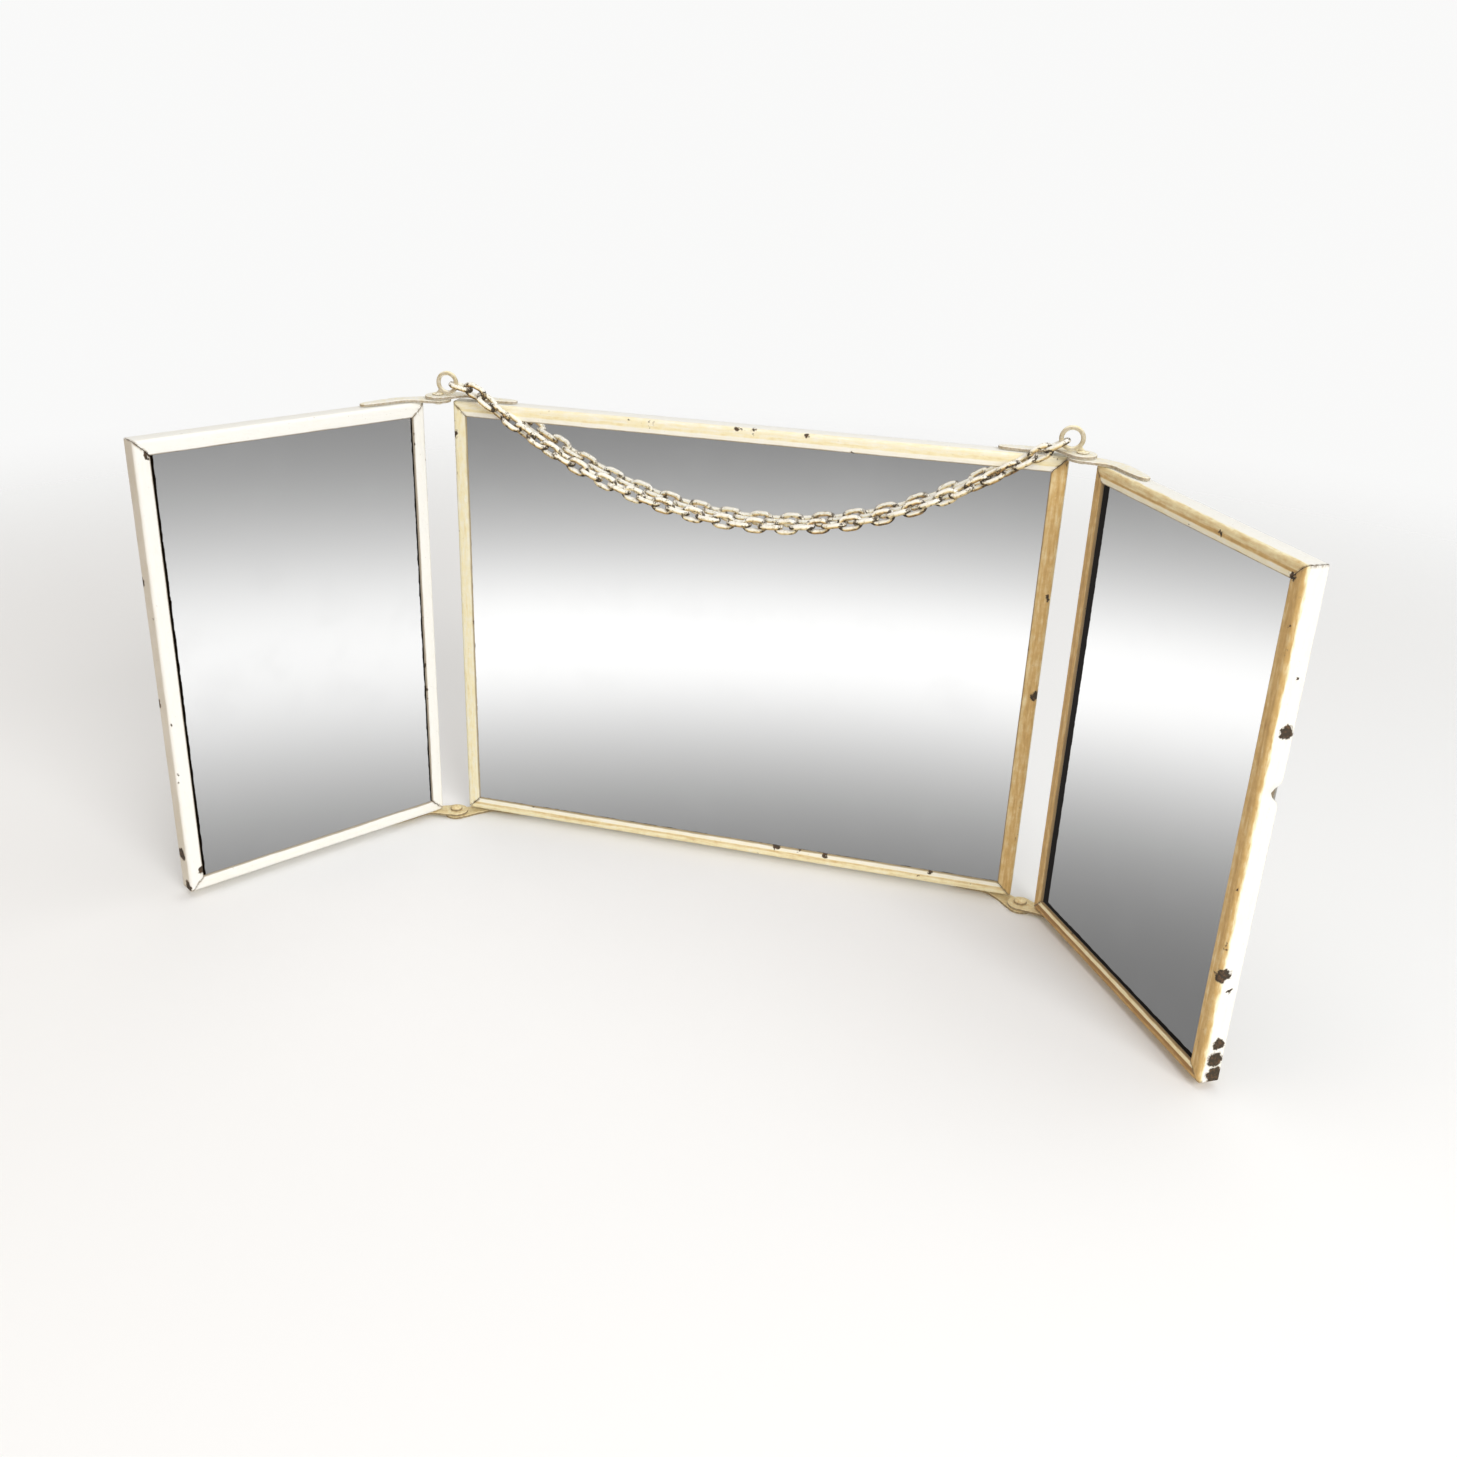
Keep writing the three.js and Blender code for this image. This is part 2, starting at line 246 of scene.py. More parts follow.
cameraView = {
    "place": (0.15236, -0.60458, 0.33867),  # from the middle of the centre frame's foot
    "turnDegrees": (64.861, -1.492, 16.646),
    "lens": 36.88,
    "shift": (0.0279, 0.0217),
}
studio = {
    "backdrop": (0.95, 0.95, 0.945, 1),  # what the camera sees behind everything
    "skyLight": (0.50, 0.495, 0.48, 1),  # what lights the pieces from above and below the horizon
    "groundLight": (0.20, 0.195, 0.19, 1),
    # what glossy surfaces see: degrees above the horizon, and how bright, as a share of the peak
    "mirroredPeak": 1.62,
    "mirrored": [(-31, 0.105), (-27, 0.20), (-23.6, 0.49), (-20.5, 0.92), (-17.7, 0.47),
                 (-14.5, 0.20), (-12, 0.14)],
    "keyPlace": (1.1, -1.2, 1.0),
    "keyPower": 21,
    "keySize": 0.9,
    "topPlace": (0.1, 0.3, 1.9),
    "topPower": 14,
    "topSize": 2.2,
    "fillPlace": (-1.2, -0.9, 0.5),
    "fillColour": (1.0, 0.66, 0.4),
    "fillPower": 3,
    "fillSize": 0.9,
    "floorRadius": 1.1,  # the floor fades into the backdrop from half of this on
}


def addCamera():
    data = bpy.data.cameras.new("camera")
    data.lens = cameraView["lens"]
    data.shift_x, data.shift_y = cameraView["shift"]
    data.clip_start = 0.01
    camera = bpy.data.objects.new("camera", data)
    bpy.context.scene.collection.objects.link(camera)
    camera.location = centrePanel["matrix"].translation + Vector(cameraView["place"])
    camera.rotation_euler = [math.radians(a) for a in cameraView["turnDegrees"]]
    bpy.context.scene.camera = camera


def addLight(name, place, power, size, colour=(1, 1, 1)):
    data = bpy.data.lights.new(name, "AREA")
    data.energy, data.size, data.color = power, size, colour
    light = bpy.data.objects.new(name, data)
    light.location = place
    aim = Vector((0, 0, 0.08)) - Vector(place)
    light.rotation_euler = aim.to_track_quat("-Z", "Y").to_euler()
    bpy.context.scene.collection.objects.link(light)


def addStudio():
    world = bpy.data.worlds.new("studio")
    bpy.context.scene.world = world
    world.use_nodes = True
    start = wire(world.node_tree)
    direction = start.node("ShaderNodeTexCoord")
    height = start.node("ShaderNodeSeparateXYZ", {}, {"Vector": direction}, 2)
    ambient = colourMix(height.step(-0.15, 0.25), studio["groundLight"], studio["skyLight"])
    bands = [(math.sin(math.radians(turn)), level) for turn, level in studio["mirrored"]]
    lowest, highest = bands[0][0], bands[-1][0]
    mirrored = start.node("ShaderNodeValToRGB", {"stops": [
        ((rise - lowest) / (highest - lowest), (level, level, level, 1)) for rise, level in bands
    ]}, {"Fac": (height - lowest) / (highest - lowest)})
    mirrored.end.node.color_ramp.interpolation = "B_SPLINE"
    mirrored = start.vector("MULTIPLY", mirrored, (studio["mirroredPeak"],) * 3)
    cameraRay = start.node("ShaderNodeLightPath")
    lighting = colourMix(cameraRay.twin("Is Glossy Ray"), ambient, mirrored)
    colour = colourMix(cameraRay, lighting, studio["backdrop"])
    start.feed(world.node_tree.nodes["Background"].inputs["Color"], colour)
    addLight("keyLight", studio["keyPlace"], studio["keyPower"], studio["keySize"])
    addLight("topLight", studio["topPlace"], studio["topPower"], studio["topSize"])
    addLight(
        "warmFill", studio["fillPlace"], studio["fillPower"], studio["fillSize"],
        studio["fillColour"],
    )
    mesh = bpy.data.meshes.new("floor")
    shape = bmesh.new()
    bmesh.ops.create_circle(shape, cap_ends=True, segments=96, radius=studio["floorRadius"])
    shape.to_mesh(mesh)
    shape.free()
    floor = addPiece("floor", mesh, paleFloor())
    floor.visible_glossy = False
    bpy.context.scene.view_settings.view_transform = "Standard"


def newMaterial(name):
    material = bpy.data.materials.new(name)
    material.use_nodes = True
    tree = material.node_tree
    shader = tree.nodes["Principled BSDF"]
    return material, wire(tree), shader


def finishMaterial(start, shader, **values):
    for name, value in values.items():
        start.feed(shader.inputs[name.replace("_", " ")], value)


def inMillimetres(start):
    place = start.node("ShaderNodeTexCoord", output="Object")
    return start.node("ShaderNodeMapping", {}, {"Vector": place, "Scale": (1000, 1000, 1000)})


def attribute(start, name):
    return start.node("ShaderNodeAttribute", {"attribute_name": name}, output="Fac")


def bumped(height, strength, depth):
    return height.node("ShaderNodeBump", {}, {
        "Strength": strength, "Distance": depth, "Height": height,
    })


def paleFloor():
    material, start, shader = newMaterial("paleFloor")
    place = start.node("ShaderNodeTexCoord", output="Object")
    reach = start.vector("LENGTH", place, output="Value") / studio["floorRadius"]
    finishMaterial(start, shader, Base_Color=(0.88, 0.88, 0.88, 1), Roughness=0.8,
                   Alpha=reach.step(0.98, 0.45))
    return material


enamelLook = {
    # the paint from fresh to deeply yellowed; its darker end also serves as painted shade
    "stages": [(0.0, (0.93, 0.915, 0.86, 1)), (0.33, (0.89, 0.79, 0.49, 1)),
               (0.67, (0.63, 0.41, 0.15, 1)), (1.0, (0.36, 0.19, 0.055, 1))],
    "strokeContrast": 1.35,  # how much the brush marks vary within the stages
    "grimeAndShade": (0.26, 0.18, 0.09, 1),
    "bareMetal": (0.075, 0.056, 0.036, 1),
    "rust": (0.17, 0.095, 0.05, 1),
    "roughness": 0.36,
    # where bands begin and end round a rail's section, in millimetres from its back edge
    "frontFold": (11.6, 13.4),
    "groove": (15.6, 16.6),
    "hem": (17.0, 17.6),
    "hemEnd": (20.2, 19.4),
    "lip": (19.3, 19.9),
    "backFold": 4.9,
}


# Places along a rail: millimetres along it, round its section and a number of its own.
def railPlace(start):
    values = {
        "X": attribute(start, "railAlong"),
        "Y": attribute(start, "railAround"),
        "Z": attribute(start, "railNumber") * 37.0,
    }
    return start.node("ShaderNodeCombineXYZ", {}, values)


def stretched(place, scale, turn=0.0):
    return place.node("ShaderNodeMapping", {}, {
        "Vector": place, "Rotation": (0, 0, math.radians(turn)), "Scale": scale,
    })


# How far inside the nearest of the named chips each point is: 1 at its middle, 0 at its edge.
def chipSpots(where, spots):
    depth = None
    for place, radius in spots:
        apart = where.vector("DISTANCE", where, place, output="Value")
        inside = 1 - apart / radius
        depth = inside if depth is None else depth.most(inside)
    return depth


def enamel(name, spots=(), onRail=True, ageAndShade=0.0, uprightFaceShade=0.8):
    material, start, shader = newMaterial(name)
    solidPlace = inMillimetres(start)
    place = railPlace(start) if onRail else solidPlace
    long = (0.045, 0.9, 1) if onRail else (0.5, 0.5, 0.5)
    strokes = noise(stretched(place, long), 1.0, 5.0, 0.62)
    slant = noise(stretched(place, (0.16, 0.9, 1) if onRail else (0.8, 0.8, 0.8), 38), 1.0, 3.0)
    patches = noise(solidPlace, 0.055, 4.0, 0.6)
    mottle = noise(solidPlace, 0.30, 4.0, 0.65)
    marks = strokes * 0.25 + slant * 0.35 + mottle * 0.25 + patches * 0.15 - 0.5
    if onRail:  # the front flange and the side are painted yellowed and shaded by different amounts: partly real yellowing, partly painted shade on faces turned from the key light
        around = attribute(start, "railAround")
        front = (around + slant * 2 - 1).step(*enamelLook["frontFold"])
        frontAgeAndShade, sideAgeAndShade = attribute(start, "railFrontAge"), attribute(start, "railSideAge")
        ageAndShade = sideAgeAndShade + front * (frontAgeAndShade - sideAgeAndShade)
        bandLightAndShade = attribute(start, "railBanding")
        hem = around.step(*enamelLook["hem"]) * (around + slant).step(*enamelLook["hemEnd"])
        beforeHem = around.step(*reversed(enamelLook["hem"]))
        groove = (around + strokes * 2 - 1).step(*enamelLook["groove"]) * beforeHem
        # painted highlight on the hem's bead and painted shade in the groove before it, full on the
        # top and bottom rails and faint on the sides
        ageAndShade = ageAndShade * (1 - hem * bandLightAndShade * 0.6) + groove * bandLightAndShade * frontAgeAndShade * 0.5
        marks = marks * (ageAndShade.step(0.0, 0.3) * 0.8 + 0.2)
    yellowedAndShaded = marks * enamelLook["strokeContrast"] + ageAndShade
    paint = yellowedAndShaded.node("ShaderNodeValToRGB", {"stops": enamelLook["stages"]}, {"Fac": yellowedAndShaded})
    # grime in the finest pits and in the mitres; painted shade along the hem's inner lip, on some
    # rails' sides and on the upright faces of straps and eyes; and darker along the back fold, in
    # patches
    pits = noise(solidPlace, 1.1, 3.0, 0.7)
    dirtAndShade = pits.step(0.66, 0.76) * 0.6
    if onRail:
        mitre = attribute(start, "railEnd")
        dirtAndShade = dirtAndShade.most(mitre.step(1.3, 0.0) * slant.step(0.35, 0.65) * 0.9)
        # painted shade along the hem's inner lip, where the frame meets the glass, and darker along
        # the back fold, in patches
        lip = (around + patches * 0.8).step(*enamelLook["lip"])
        fromFold = abs(around - enamelLook["backFold"] + pits)
        backFold = fromFold.step(0.9, 0.3) * patches.step(0.35, 0.6)
        # painted shade on the sides of some rails: those turned from the key light, and the bottoms
        sideShade = (1 - front) * attribute(start, "railSoot") * (0.6 + patches * 0.6)
        dirtAndShade = dirtAndShade.most(lip * 0.8).most(backFold * 0.5).most(sideShade)
    else:
        facing = start.node("ShaderNodeNewGeometry", output="Normal")
        upright = abs(start.node("ShaderNodeSeparateXYZ", {}, {"Vector": facing}, 2))
        # painted shade: upright faces, such as the sides of straps and eyes, are darkened
        dirtAndShade = dirtAndShade.most(upright.step(0.75, 0.3) * uprightFaceShade * (0.4 + slant))
    paint = colourMix(dirtAndShade, paint, enamelLook["grimeAndShade"])
    # chips: more along the folds, and at the places where this piece is knocked
    coarse = noise(place, 0.16, 5.0, 0.65) if onRail else noise(solidPlace, 0.28, 5.0, 0.65)
    edge = attribute(start, "railFold") if onRail else 0.5
    chipDepth = (coarse + edge * 0.075 - 0.735) * 9
    if spots:
        crooked = noise(solidPlace, 0.42, 4.0, 0.65, "Color")
        bent = crooked.node("ShaderNodeVectorMath", {"operation": "MULTIPLY_ADD"}, {
            0: crooked, 1: (5.5, 5.5, 5.5), 2: solidPlace,
        })
        bent = bent.vector("SUBTRACT", bent, (2.75, 2.75, 2.75))
        chipDepth = chipDepth.most(chipSpots(bent, spots))
    chip = chipDepth.step(0.0, 0.09)
    rim = chipDepth.step(-0.22, 0.0) * 0.45
    paint = colourMix(rim, paint, enamelLook["grimeAndShade"])
    metal = colourMix(noise(solidPlace, 0.9, 3.0).step(0.45, 0.7), enamelLook["bareMetal"],
                      enamelLook["rust"])
    colour = colourMix(chip, paint, metal)
    height = strokes * 0.4 + slant * 0.7 + mottle * 0.4 + pits * 0.15 - chip * 1.1
    roughness = enamelLook["roughness"] + strokes * 0.16 + chip * 0.25
    finishMaterial(start, shader, Base_Color=colour, Roughness=roughness, Metallic=chip * 0.35,
                   Normal=bumped(height, 0.6, 0.0004))
    return material


mirrorLook = {
    "silver": (0.91, 0.91, 0.905, 1),
    "rim": (0.010, 0.006, 0.003, 1),
    # how far the dark rim reaches past each flange's edge, in millimetres: partly the blackened rim
    # of the silvering, partly painted shadow of the flange
    "rims": {
        "centre": {"left": -0.8, "right": -0.4, "bottom": -0.7, "top": -0.5},
        "left_wing": {"left": 1.7, "right": -0.1, "bottom": -1.1, "top": -0.5},
        "right_wing": {"left": 0.7, "right": -0.8, "bottom": -0.5, "top": -0.5},
    },
    "roughness": {"centre": 0.10, "left_wing": 0.14, "right_wing": 0.14},
}


def silveredGlass(panel):
    material, start, shader = newMaterial(panel + "Silver")
    size, rims = panels[panel], mirrorLook["rims"][panel]
    place = inMillimetres(start)
    halfOpening = size["width"] / 2 / mm - channelSize["frontFlange"]
    head = size["height"] / mm - channelSize["frontFlange"]
    across, up = attribute(start, "paneAcross"), attribute(start, "paneUp")
    ragged = noise(place, 0.16, 5.0, 0.7) * 2.4 - 1.2
    rim = None
    # the dark rim: the silvering's blackened edge together with painted shadow under the flanges
    for gap, width in (
        (halfOpening + across, rims["left"]), (halfOpening - across, rims["right"]),
        (up - channelSize["frontFlange"], rims["bottom"]), (head - up, rims["top"]),
    ):
        dark = (gap + ragged * 0.6).step(width + 0.2, width - 0.05)
        rim = dark if rim is None else rim.most(dark)
    foxing = noise(place, 0.5, 4.0, 0.7).step(0.74, 0.80) * 0.5
    colour = colourMix(rim.most(foxing), mirrorLook["silver"], mirrorLook["rim"])
    smears = noise(place, 0.035, 5.0, 0.6)
    roughness = mirrorLook["roughness"][panel] + smears.step(0.45, 0.8) * 0.02 + rim * 0.3
    finishMaterial(start, shader, Base_Color=colour, Metallic=1.0, Roughness=roughness)
    return material


def tinPlate():
    material, start, shader = newMaterial("tinPlate")
    place = inMillimetres(start)
    rolled = noise(stretched(place, (0.02, 0.9, 0.9)), 1.0, 4.0)
    cloud = noise(place, 0.03, 5.0, 0.6)
    rust = noise(place, 0.22, 6.0, 0.7).step(0.66, 0.76)
    tin = colourMix(cloud.step(0.35, 0.7), (0.78, 0.75, 0.67, 1), (0.62, 0.58, 0.50, 1))
    colour = colourMix(rust * 0.8, tin, (0.20, 0.11, 0.055, 1))
    height = rolled * 0.4 + cloud + rust * 0.3
    finishMaterial(start, shader, Base_Color=colour, Metallic=1 - rust * 0.8,
                   Roughness=0.34 + rolled * 0.2 + rust * 0.3,
                   Normal=bumped(height, 0.35, 0.0004))
    return material


def pulpCard():
    material, start, shader = newMaterial("pulpCard")
    place = inMillimetres(start)
    fibre = noise(stretched(place, (0.5, 2.5, 2.5)), 1.0, 5.0, 0.7)
    colour = colourMix(fibre.step(0.3, 0.7), (0.30, 0.24, 0.16, 1), (0.20, 0.155, 0.10, 1))
    finishMaterial(start, shader, Base_Color=colour, Roughness=0.92,
                   Normal=bumped(fibre, 0.5, 0.0002))
    return material


chainLook = {
    "underShade": 0.40,  # painted shade: how much darker and browner the undersides are painted
    "underShadeSpread": 0.55,  # and how much that differs from link to link
    "grimeFrom": (0.50, 0.56),
    "chipsFrom": (0.565, 0.59),
    "paintedMirrorGlow": 0.45,  # painted glow on the back of the chain, standing in for light that the mirrors throw on it
}


def chainEnamel():
    material, start, shader = newMaterial("chainEnamel")
    place = inMillimetres(start)
    contact = attribute(start, "linkEnd")
    tone = attribute(start, "linkTone")
    facing = start.node("ShaderNodeNewGeometry", output="Normal")
    side = start.node("ShaderNodeSeparateXYZ", {}, {"Vector": facing})
    backward, upright = side.twin(1), side.twin(2)
    under = upright.step(0.45, -0.5)
    blotch = noise(place, 0.55, 4.0, 0.6)
    fine = noise(place, 2.2, 3.0, 0.6)
    ageAndShade = (blotch * 0.6 + fine * 0.4).step(0.42, 0.68) * 0.12 + tone * 0.03
    # painted shade: the undersides are painted darker and browner
    ageAndShade = ageAndShade + under * (chainLook["underShade"] + tone * chainLook["underShadeSpread"])
    paint = ageAndShade.node("ShaderNodeValToRGB", {"stops": enamelLook["stages"]}, {"Fac": ageAndShade})
    chipDepth = blotch * 0.6 + fine * 0.25 + contact * 0.11 + tone * 0.04 + under * 0.08
    rim = chipDepth.step(*chainLook["grimeFrom"]) * 0.6
    chip = chipDepth.step(*chainLook["chipsFrom"])
    paint = colourMix(rim, paint, enamelLook["grimeAndShade"])
    colour = colourMix(chip, paint, enamelLook["bareMetal"])
    # a painted glow: the back of the chain emits its own colour
    paintedGlow = colourMix(backward.step(0.0, 0.7) * chainLook["paintedMirrorGlow"], (0, 0, 0, 1), colour)
    finishMaterial(start, shader, Base_Color=colour, Roughness=0.42 + fine * 0.15 + chip * 0.2,
                   Metallic=chip * 0.3, Emission_Color=paintedGlow, Emission_Strength=1.0,
                   Normal=bumped(blotch * 0.5 + fine * 0.4 - chip * 0.8, 0.6, 0.0003))
    return material


channelSize = {
    "sheet": 0.8,
    "frontFlange": 6.3,
    "backFlange": 5.0,
    "hemWidth": 2.2,
    "hemThickness": 1.5,
    "frontEdgeRadius": 1.6,
    "backEdgeRadius": 1.0,
    "mitreGap": 0.3,
    "stations": 110,  # along each rail
    "wobble": 0.16,  # how far the hand-folded sheet wanders
}
railAgesAndShade = {  # how yellowed each rail's front flange and side are painted, partly real yellowing and partly painted shade on faces turned from the key light, and how much painted shade darkens its side
    "centre": {"left": (0.27, 0.05, 0), "top": (0.22, 0.0, 0), "right": (0.64, 0.2, 0),
               "bottom": (0.34, 0.22, 0.1)},
    "left_wing": {"outer": (0.0, 0.08, 0.4), "top": (0.0, 0.0, 0), "hinge": (0.0, 0.0, 0),
                  "bottom": (0.02, 0.1, 0.1)},
    "right_wing": {"hinge": (0.70, 0.5, 0.1), "top": (0.46, 0.0, 0), "outer": (0.67, 0.02, 0),
                   "bottom": (0.80, 0.6, 0.2)},
}
knocks = {  # ragged chips on each frame: place in the panel's axes and radius, in millimetres
    "centre": [
        ((-132.4, 1.0, 186), 1.8), ((132.4, 0.6, 98), 2.4), ((131.6, 0.2, 142), 1.3),
        ((27, 0.6, 199.4), 1.3), ((4, 0.8, 199.2), 1.0), ((24, 0.4, 5.6), 1.8),
        ((47, 0.4, 5.8), 1.4), ((96, 0.2, 5.6), 1.3),
    ],
    "left_wing": [
        ((-65.5, 5.6, 17), 3.0), ((-65.5, 3.6, 2), 2.8), ((-59.8, 0.3, 9.5), 1.9),
        ((-65.3, 8.6, 88), 1.7), ((-65.3, 8.8, 141), 1.7), ((-60.5, 0.2, 194), 1.3),
    ],
    "right_wing": [
        ((65.4, 6.8, 3), 3.6), ((65.4, 5.6, 10), 3.2), ((65.3, 5.8, 17), 2.6),
        ((65.2, 1.6, 47), 2.8), ((65.4, 5.6, 40), 1.0), ((65.4, 6.0, 142), 2.5),
        ((65.4, 6.0, 161), 0.8), ((20, 0.2, 197.4), 1.0), ((60.6, 0.2, 195), 1.5),
    ],
}
dents = {  # bites out of a rail's back edge: height on the rail, depth and half their length, mm
    "right_wing_outer_rail": (119.0, 3.2, 4.5),
}


# Bends a rail's back edge forward, and a little inward, at its dent.
def pressDent(mesh, node, panel):
    if node not in dents:
        return
    height, bite, reach = dents[node]
    size = panels[panel]
    for vertex in mesh.vertices:
        along = abs(vertex.co.z / mm - height) / reach
        back = 2 * vertex.co.y / size["depth"] - 1
        outer = vertex.co.x > size["width"] / 2 - 2 * mm
        if along < 1 and back > 0 and outer:
            press = bite * mm * (1 - along * along) ** 2 * back
            vertex.co.y -= press
            vertex.co.x -= press * 0.4


def arc(centre, radius, start, end, steps):
    turns = [math.radians(start + (end - start) * i / steps) for i in range(steps + 1)]
    return [(centre[0] + radius * math.cos(t), centre[1] + radius * math.sin(t)) for t in turns]


# The channel's outline in millimetres: inward from the frame's side, and back from its face.
def channelOutline(depth):
    size = channelSize
    sheet, flange, hem = size["sheet"], size["frontFlange"], size["hemThickness"]
    front, rear, half = size["frontEdgeRadius"], size["backEdgeRadius"], size["hemThickness"] / 2
    hemStart = flange - size["hemWidth"]
    return [
        (size["backFlange"], depth),
        *arc((rear, depth - rear), rear, 90, 180, 6),
        *arc((front, front), front, 180, 270, 8),
        (hemStart, 0),
        *arc((flange - half, half), half, -90, 90, 10),
        (hemStart, hem),
        (hemStart, sheet),
        *arc((front, front), front - sheet, 270, 180, 5),
        (sheet, depth - sheet),
        (size["backFlange"], depth - sheet),
    ]


def addLine(curve, points, closed=True):
    spline = curve.splines.new("POLY")
    spline.points.add(len(points) - 1)
    for point, place in zip(spline.points, points):
        point.co = (*place, 1)
    spline.use_cyclic_u = closed


def outlineObject(name, points):
    curve = bpy.data.curves.new(name, "CURVE")
    addLine(curve, [(x * mm, y * mm, 0) for x, y in points])
    thing = bpy.data.objects.new(name, curve)
    bpy.context.scene.collection.objects.link(thing)
    return thing


def railTree():
    tree, given = geometryTree("mitredRail", [
        ("Section", "Object"), ("Length", "Float"), ("Span", "Float"), ("Height", "Float"),
        ("Setback", "Float"), ("Turn", "Float"), ("Stations", "Int"), ("Wobble", "Float"),
        ("Flange", "Float"), ("Front Age And Shade", "Float"), ("Side Age And Shade", "Float"), ("Side Shade", "Float"),
        ("Band Light And Shade", "Float"), ("Seed", "Float"), ("Finish", "Material"),
    ])
    start = given["Length"]

    def store(shape, name, value):
        return start.node("GeometryNodeStoreNamedAttribute", {
            "data_type": "FLOAT", "domain": "POINT",
        }, {"Geometry": shape, "Name": name, "Value": value})

    def recall(name):
        return start.node("GeometryNodeInputNamedAttribute", {"data_type": "FLOAT"},
                          {"Name": name})

    line = start.node("GeometryNodeCurvePrimitiveLine", {}, {"End": (0, 0, 1)})
    line = start.node("GeometryNodeResampleCurve", {}, {"Curve": line, "Count": given["Stations"]})
    station = start.node("GeometryNodeSplineParameter")
    line = store(line, "station", station * 2 - 1)
    section = start.node("GeometryNodeObjectInfo", {}, {"Object": given["Section"]}, "Geometry")
    section = store(section, "railAround", station.twin("Length") / mm)
    swept = start.node("GeometryNodeCurveToMesh", {}, {
        "Curve": line, "Profile Curve": section, "Fill Caps": True,
    })
    where = start.node("GeometryNodeInputPosition")
    split = start.node("ShaderNodeSeparateXYZ", {}, {"Vector": where})
    inward, depth = split, split.twin(1)
    reach = given["Length"] / 2 - inward - given["Setback"]
    along = recall("station") * reach
    swept = store(swept, "railAlong", along / mm)
    swept = store(swept, "railEnd", (reach - abs(along)) / mm)
    for name, value in (
        ("railNumber", "Seed"), ("railFrontAge", "Front Age And Shade"), ("railSideAge", "Side Age And Shade"),
        ("railSoot", "Side Shade"), ("railBanding", "Band Light And Shade"),
    ):
        swept = store(swept, name, given[value])
    # 1 on the front fold and on the hem, 0 on the flats
    frontFold = abs(inward - 0.6 * mm).step(1.6 * mm, 0.2 * mm) * depth.step(3 * mm, 0.6 * mm)
    hemFold = abs(inward - given["Flange"]).step(1.4 * mm, 0.2 * mm)
    swept = store(swept, "railFold", frontFold.most(hemFold))
    placed = start.node("ShaderNodeCombineXYZ", {}, {
        "X": inward - given["Span"] / 2, "Y": depth, "Z": along,
    })
    turned = start.node("ShaderNodeVectorRotate", {"rotation_type": "Y_AXIS"}, {
        "Vector": placed, "Angle": given["Turn"],
    })
    lift = start.node("ShaderNodeCombineXYZ", {}, {"Z": given["Height"] / 2})
    risen = start.vector("ADD", turned, lift)
    swept = start.node("GeometryNodeSetPosition", {}, {"Geometry": swept, "Position": risen})
    # the sheet wanders a little, the same on both sides of a mitre
    wander = None
    for scale, share in ((9, 1.0), (60, 0.4)):
        drift = start.node("ShaderNodeTexNoise", {"noise_dimensions": "3D"}, {
            "Vector": where, "Scale": scale, "Detail": 1.0,
        }, "Color")
        drift = start.vector("SUBTRACT", drift, (0.5, 0.5, 0.5))
        amount = start.node("ShaderNodeVectorMath", {"operation": "SCALE"}, {
            0: drift, "Scale": given["Wobble"] * (2 * share),
        })
        wander = amount if wander is None else start.vector("ADD", wander, amount)
    swept = start.node("GeometryNodeSetPosition", {}, {"Geometry": swept, "Offset": wander})
    treeEnd(swept, given["Finish"])
    return tree


def addFrames(paints):
    tree = railTree()
    setback = channelSize["mitreGap"] * mm / math.sqrt(2)
    number = 0
    for panel in panelNames:
        size = panels[panel]
        section = outlineObject("channel", channelOutline(size["depth"] / mm))
        leftName, rightName = sideRails[panel]
        for side, length, span, turn in (
            (leftName, size["height"], size["width"], 0),
            ("top", size["width"], size["height"], 90),
            (rightName, size["height"], size["width"], 180),
            ("bottom", size["width"], size["height"], -90),
        ):
            number += 1
            node = f"{panel}_{side}_rail"
            frontAgeAndShade, sideAgeAndShade, sideShade = railAgesAndShade[panel][side]
            rail = grow(node + "_enamelled", tree, {
                "Section": section, "Length": length, "Span": span, "Height": size["height"],
                "Setback": setback, "Turn": math.radians(turn),
                "Stations": channelSize["stations"], "Wobble": channelSize["wobble"] * mm,
                "Flange": channelSize["frontFlange"] * mm, "Front Age And Shade": frontAgeAndShade,
                "Side Age And Shade": sideAgeAndShade, "Side Shade": float(sideShade), "Seed": float(number),
                # painted bands of highlight and shade: full on the top and bottom rails, faint on
                # the sides
                "Band Light And Shade": 1.0 if side in ("top", "bottom") else 0.12, "Finish": paints[panel],
            })
            pressDent(rail.data, node, panel)
            rail.data.transform(size["matrix"])
            smoothMesh(rail.data, 40)
            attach(rail, bodyOf[panel])
            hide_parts(node)
        bpy.data.objects.remove(section)
    print("frames made:", number, "rails")


def ragged(panel):
    matrix = panels[panel]["matrix"]
    return [(tuple((matrix @ (Vector(place) * mm)) / mm), radius)
            for place, radius in knocks[panel]]


mirrorSize = {
    "silverDepth": {"centre": 0.15, "left_wing": 0.15, "right_wing": 0.5},  # share of the glass
    "bevel": 0.25,
}


